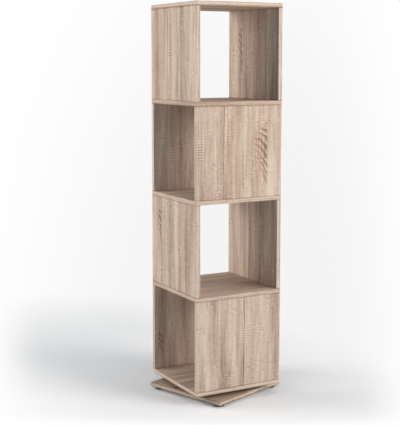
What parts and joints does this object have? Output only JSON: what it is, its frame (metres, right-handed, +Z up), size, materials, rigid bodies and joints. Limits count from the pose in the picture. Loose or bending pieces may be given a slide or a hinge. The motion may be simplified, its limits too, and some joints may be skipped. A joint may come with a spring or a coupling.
{
  "type": "revolving bookcase",
  "caption": "Floor-standing revolving bookcase: a square tower of open tiers, closed on alternate pairs of sides, that turns on a ball swivel above a square base plate with round feet.",
  "frame": {"origin": "on the floor, on the swivel axis", "axes": "+Z up; at rest the tower's front faces -Y and its left side faces -X"},
  "size_m": [0.4278, 0.4278, 1.393],
  "materials": {
    "oak_decor": "matt rough-sawn oak decor",
    "beech": "plain turned beech",
    "black_plastic": "satin black",
    "plate_steel": "zinc-plated pressing",
    "screw_steel": "zinc-plated",
    "ball_steel": "ground and polished",
    "cage_plastic": "moulded, undyed"
  },
  "bodies": {
    "base": {"base_plate": "oak_decor", "foot_back_right": "black_plastic", "foot_back_left": "black_plastic", "foot_front_left": "black_plastic", "foot_front_right": "black_plastic", "swivel_lower_plate": "plate_steel", "swivel_lower_screws": "screw_steel", "swivel_rivet": "plate_steel"},
    "ball_ring": {"ball_cage": "cage_plastic", "swivel_balls": "ball_steel"},
    "tower": {"swivel_upper_plate": "plate_steel", "swivel_upper_screws": "screw_steel", "bottom_board": "oak_decor", "shelf_1": "oak_decor", "shelf_2": "oak_decor", "shelf_3": "oak_decor", "top_board": "oak_decor", "tier_1_front_panel": "oak_decor", "tier_1_back_panel": "oak_decor", "tier_2_left_panel": "oak_decor", "tier_2_right_panel": "oak_decor", "tier_3_front_panel": "oak_decor", "tier_3_back_panel": "oak_decor", "tier_4_left_panel": "oak_decor", "tier_4_right_panel": "oak_decor", "tier_1_dowels": "beech", "tier_2_dowels": "beech", "tier_3_dowels": "beech", "tier_4_dowels": "beech"}
  },
  "joints": [
    {"name": "tower_spin", "type": "hinge", "parent": "base", "child": "tower", "pos_m": [0, 0, 0.031], "axis": [0, 0, 1], "continuous": true},
    {"name": "ball_ring_orbit", "type": "hinge", "parent": "base", "child": "ball_ring", "pos_m": [0, 0, 0.031], "axis": [0, 0, 1], "continuous": true}
  ],
  "couplings": [
    {"joint": "ball_ring_orbit", "follows": "tower_spin", "ratio": 0.5}
  ]
}
